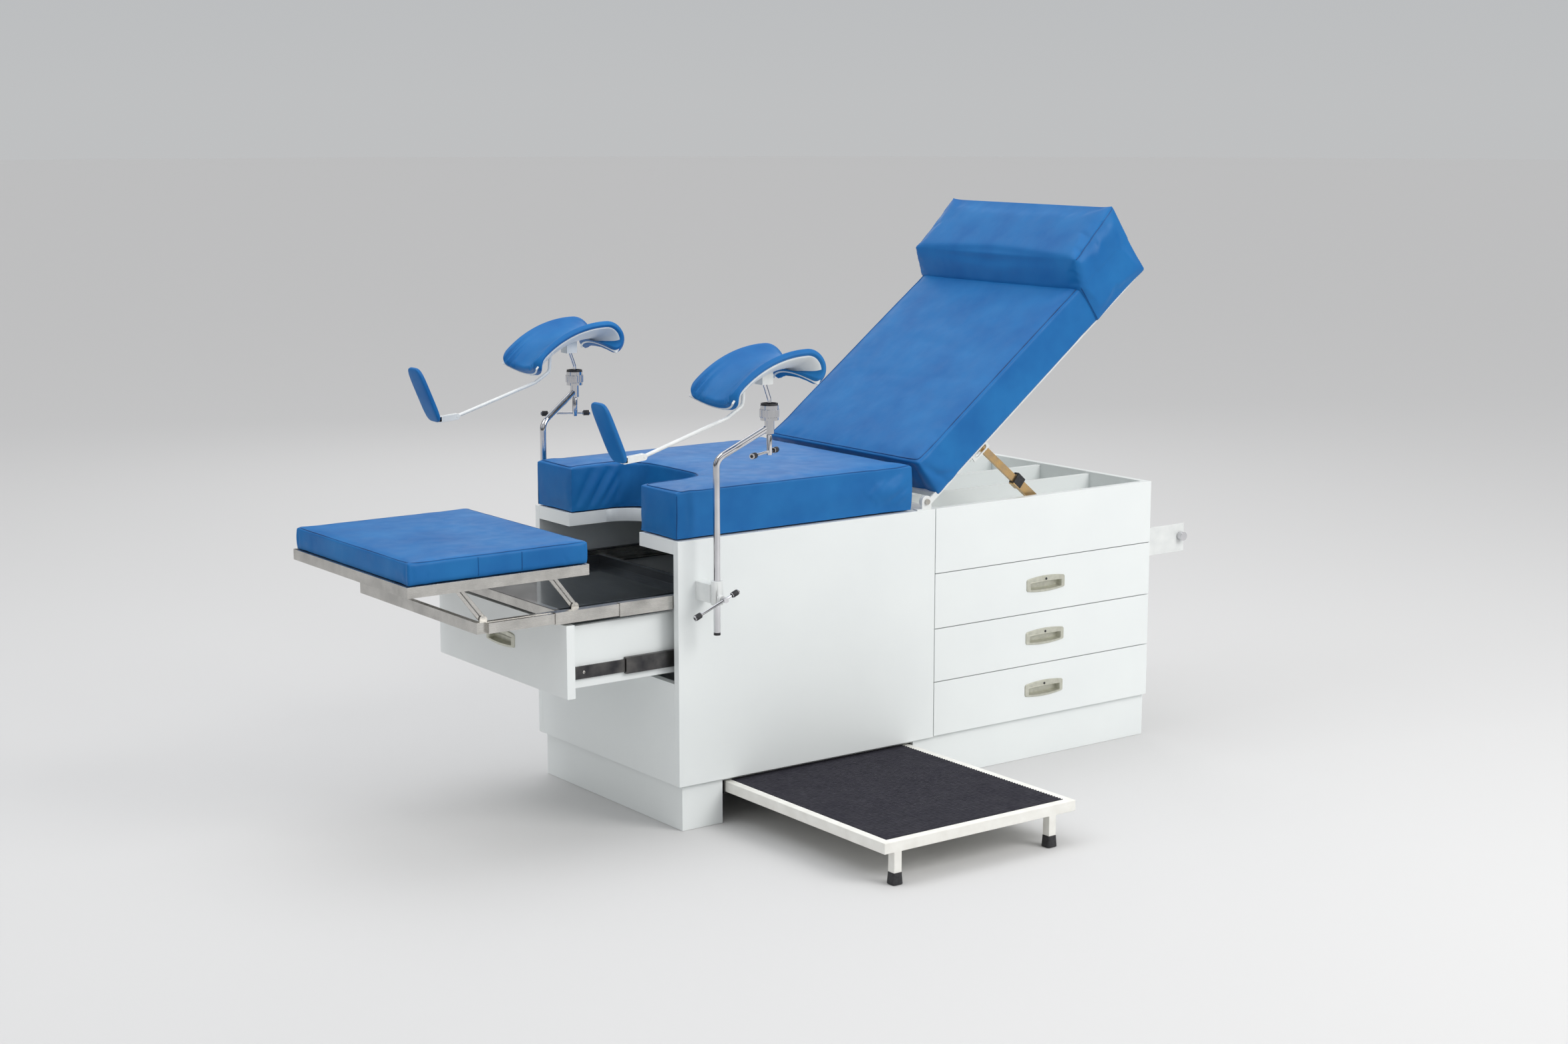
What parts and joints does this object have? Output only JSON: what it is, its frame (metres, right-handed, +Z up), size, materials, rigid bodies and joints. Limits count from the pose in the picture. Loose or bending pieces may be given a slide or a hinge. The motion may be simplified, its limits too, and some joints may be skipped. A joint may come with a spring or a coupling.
{
  "type": "medical exam table",
  "caption": "Gynaecological exam table on a cabinet, with tilting back, leg holders, folding pull-out foot section, drawers, instrument tray and pull-out step.",
  "frame": {"origin": "on the floor, under the middle of the cabinet, at the centre of the plinth's cross board", "axes": "+X towards the head end (the long way of the table), +Y to the far side, away from the step and the side drawers, +Z up"},
  "size_m": [2.171, 1.3413, 1.3387],
  "materials": {
    "white_board": "gloss laminate",
    "white_steel": "white powder coat",
    "blue_vinyl": "soft blue upholstery vinyl",
    "plywood": "sanded plywood",
    "stainless": "brushed",
    "chrome": "polished",
    "yellow_zinc": "yellow passivated zinc plate on steel",
    "black_steel": "black zinc",
    "dark_pan": "glossy",
    "white_plastic": "moulded",
    "black_rubber": "matt",
    "cream_steel": "cream powder coat",
    "drawer_white": "gloss laminate"
  },
  "bodies": {
    "cabinet": {"plinth": "white_board", "near_panels": "white_board", "far_panel": "white_board", "foot_panel": "white_board", "head_panel": "white_board", "carcass": "white_board", "instrument_tray": "white_board", "seat_board": "white_board", "seat_cushion": "blue_vinyl", "cabinet_brackets": "white_steel", "pivot_bolts": "chrome", "fixed_slide_rails": "black_steel", "leg_clamps": "white_steel"},
    "backrest": {"back_board": "plywood", "back_lugs": "white_steel", "back_cushion": "blue_vinyl", "pillow": "blue_vinyl"},
    "stay_channels": {"stay_channels": "yellow_zinc"},
    "stay_rods": {"stay_rods": "yellow_zinc"},
    "foot_outer_rails": {"foot_outer_rails": "stainless"},
    "foot_inner_rails": {"foot_inner_rails": "stainless"},
    "foot_frame": {"foot_slide_frame": "stainless", "drip_tray": "dark_pan"},
    "front_levers": {"front_levers": "stainless"},
    "rear_levers": {"rear_levers": "stainless"},
    "foot_rest": {"foot_top_frame": "stainless", "foot_cushion": "blue_vinyl"},
    "foot_drawer": {"foot_drawer_front": "drawer_white", "foot_drawer_box": "drawer_white"},
    "foot_drawer_mid_rails": {"foot_drawer_mid_rails": "black_steel"},
    "step": {"step_frame": "cream_steel", "step_mat": "black_rubber", "step_feet": "black_rubber"},
    "paper_rod": {"paper_rod": "chrome"},
    "top_drawer": {"top_drawer_front": "drawer_white", "top_drawer_box": "drawer_white"},
    "middle_drawer": {"middle_drawer_front": "drawer_white", "middle_drawer_box": "drawer_white"},
    "bottom_drawer": {"bottom_drawer_front": "drawer_white", "bottom_drawer_box": "drawer_white"},
    "near_post_plug": {"near_post_plug": "chrome"},
    "near_post": {"near_post": "chrome"},
    "near_clamp_screw": {"near_clamp_screw": "chrome"},
    "near_lock_screw": {"near_lock_screw": "chrome"},
    "near_swivel": {"near_swivel_ring": "black_rubber"},
    "near_cup": {"near_cup_stem": "chrome", "near_cup_shell": "white_plastic", "near_cup_pad": "blue_vinyl", "near_foot_rod": "white_steel"},
    "near_foot_pad": {"near_foot_pad": "blue_vinyl"},
    "far_post_plug": {"far_post_plug": "chrome"},
    "far_post": {"far_post": "chrome"},
    "far_clamp_screw": {"far_clamp_screw": "chrome"},
    "far_lock_screw": {"far_lock_screw": "chrome"},
    "far_swivel": {"far_swivel_ring": "black_rubber"},
    "far_cup": {"far_cup_stem": "chrome", "far_cup_shell": "white_plastic", "far_cup_pad": "blue_vinyl", "far_foot_rod": "white_steel"},
    "far_foot_pad": {"far_foot_pad": "blue_vinyl"}
  },
  "joints": [
    {"name": "backrest_tilt", "type": "hinge", "parent": "cabinet", "child": "backrest", "pos_m": [-0.0135, 0, 0.669], "axis": [0, -1, 0], "range_deg": [-37.5, 0]},
    {"name": "stay_turn", "type": "hinge", "parent": "cabinet", "child": "stay_channels", "pos_m": [0.3965, 0, 0.6], "axis": [0, -1, 0], "range_deg": [-0.5, 29.02]},
    {"name": "stay_extend", "type": "slide", "parent": "stay_channels", "child": "stay_rods", "axis": [-0.7728, 0, 0.6347], "range_m": [-0.08613, 0.0005]},
    {"name": "foot_outer_slide", "type": "slide", "parent": "cabinet", "child": "foot_outer_rails", "axis": [-1, 0, 0], "range_m": [-0.158, 0]},
    {"name": "foot_inner_slide", "type": "slide", "parent": "foot_outer_rails", "child": "foot_inner_rails", "axis": [-1, 0, 0], "range_m": [-0.158, 0]},
    {"name": "foot_frame_slide", "type": "slide", "parent": "foot_inner_rails", "child": "foot_frame", "axis": [-1, 0, 0], "range_m": [-0.158, 0]},
    {"name": "foot_fold", "type": "hinge", "parent": "foot_frame", "child": "front_levers", "pos_m": [-1.1605, 0, 0.53], "axis": [0, -1, 0], "range_deg": [-124.44, 0]},
    {"name": "rear_lever_turn", "type": "hinge", "parent": "foot_frame", "child": "rear_levers", "pos_m": [-0.9395, 0, 0.53], "axis": [0, -1, 0], "range_deg": [-124.94, 0.5]},
    {"name": "foot_rest_level", "type": "hinge", "parent": "front_levers", "child": "foot_rest", "pos_m": [-1.2205, 0, 0.606], "axis": [0, -1, 0], "range_deg": [-0.5, 124.94]},
    {"name": "foot_drawer_slide", "type": "slide", "parent": "cabinet", "child": "foot_drawer", "axis": [-1, 0, 0], "range_m": [-0.269, 0.14]},
    {"name": "foot_drawer_mid_slide", "type": "slide", "parent": "cabinet", "child": "foot_drawer_mid_rails", "axis": [-1, 0, 0], "range_m": [-0.1346, 0.0701]},
    {"name": "top_drawer_slide", "type": "slide", "parent": "cabinet", "child": "top_drawer", "axis": [0, -1, 0], "range_m": [0, 0.38]},
    {"name": "middle_drawer_slide", "type": "slide", "parent": "cabinet", "child": "middle_drawer", "axis": [0, -1, 0], "range_m": [0, 0.38]},
    {"name": "bottom_drawer_slide", "type": "slide", "parent": "cabinet", "child": "bottom_drawer", "axis": [0, -1, 0], "range_m": [0, 0.38]},
    {"name": "step_slide", "type": "slide", "parent": "cabinet", "child": "step", "axis": [0, -1, 0], "range_m": [-0.53, 0]},
    {"name": "paper_rod_spin", "type": "hinge", "parent": "cabinet", "child": "paper_rod", "pos_m": [0.8175, 0, 0.5], "axis": [0, 1, 0], "continuous": true},
    {"name": "near_post_height", "type": "slide", "parent": "cabinet", "child": "near_post_plug", "axis": [0, 0, 1], "range_m": [-0.06, 0.05]},
    {"name": "near_post_turn", "type": "hinge", "parent": "near_post_plug", "child": "near_post", "pos_m": [-0.6485, -0.36, 0.5], "axis": [0, 0, 1], "range_deg": [-60, 20]},
    {"name": "near_clamp_screw_turn", "type": "hinge", "parent": "cabinet", "child": "near_clamp_screw", "pos_m": [-0.6485, -0.389, 0.531], "axis": [0, -1, 0], "range_deg": [0, 180]},
    {"name": "near_lock_screw_turn", "type": "hinge", "parent": "near_post", "child": "near_lock_screw", "pos_m": [-0.5365, -0.398, 0.8435], "axis": [0, 0, 1], "range_deg": [0, 180]},
    {"name": "near_cup_swivel", "type": "hinge", "parent": "near_post", "child": "near_swivel", "pos_m": [-0.5365, -0.398, 0.9255], "axis": [0, 0, -1], "range_deg": [-45, 45]},
    {"name": "near_cup_tilt", "type": "hinge", "parent": "near_swivel", "child": "near_cup", "pos_m": [-0.5365, -0.398, 0.9255], "axis": [0, -1, 0], "range_deg": [-20, 20]},
    {"name": "near_foot_pad_tilt", "type": "hinge", "parent": "near_cup", "child": "near_foot_pad", "pos_m": [-0.8585, -0.398, 0.86], "axis": [0, -1, 0], "range_deg": [-25, 25]},
    {"name": "far_post_height", "type": "slide", "parent": "cabinet", "child": "far_post_plug", "axis": [0, 0, 1], "range_m": [-0.06, 0.05]},
    {"name": "far_post_turn", "type": "hinge", "parent": "far_post_plug", "child": "far_post", "pos_m": [-0.6485, 0.36, 0.5], "axis": [0, 0, -1], "range_deg": [-60, 20]},
    {"name": "far_clamp_screw_turn", "type": "hinge", "parent": "cabinet", "child": "far_clamp_screw", "pos_m": [-0.6485, 0.389, 0.531], "axis": [0, 1, 0], "range_deg": [0, 180]},
    {"name": "far_lock_screw_turn", "type": "hinge", "parent": "far_post", "child": "far_lock_screw", "pos_m": [-0.5365, 0.398, 0.8435], "axis": [0, 0, -1], "range_deg": [0, 180]},
    {"name": "far_cup_swivel", "type": "hinge", "parent": "far_post", "child": "far_swivel", "pos_m": [-0.5365, 0.398, 0.9255], "axis": [0, 0, 1], "range_deg": [-45, 45]},
    {"name": "far_cup_tilt", "type": "hinge", "parent": "far_swivel", "child": "far_cup", "pos_m": [-0.5365, 0.398, 0.9255], "axis": [0, -1, 0], "range_deg": [-20, 20]},
    {"name": "far_foot_pad_tilt", "type": "hinge", "parent": "far_cup", "child": "far_foot_pad", "pos_m": [-0.8585, 0.398, 0.86], "axis": [0, -1, 0], "range_deg": [-25, 25]}
  ],
  "couplings": [
    {"joint": "stay_turn", "follows": "backrest_tilt", "ratio": -0.76062},
    {"joint": "stay_extend", "follows": "backrest_tilt", "m_per_rad": 0.13083},
    {"joint": "rear_lever_turn", "follows": "foot_fold", "ratio": 1},
    {"joint": "foot_rest_level", "follows": "foot_fold", "ratio": -1},
    {"joint": "foot_drawer_mid_slide", "follows": "foot_drawer_slide", "ratio": 0.5}
  ]
}
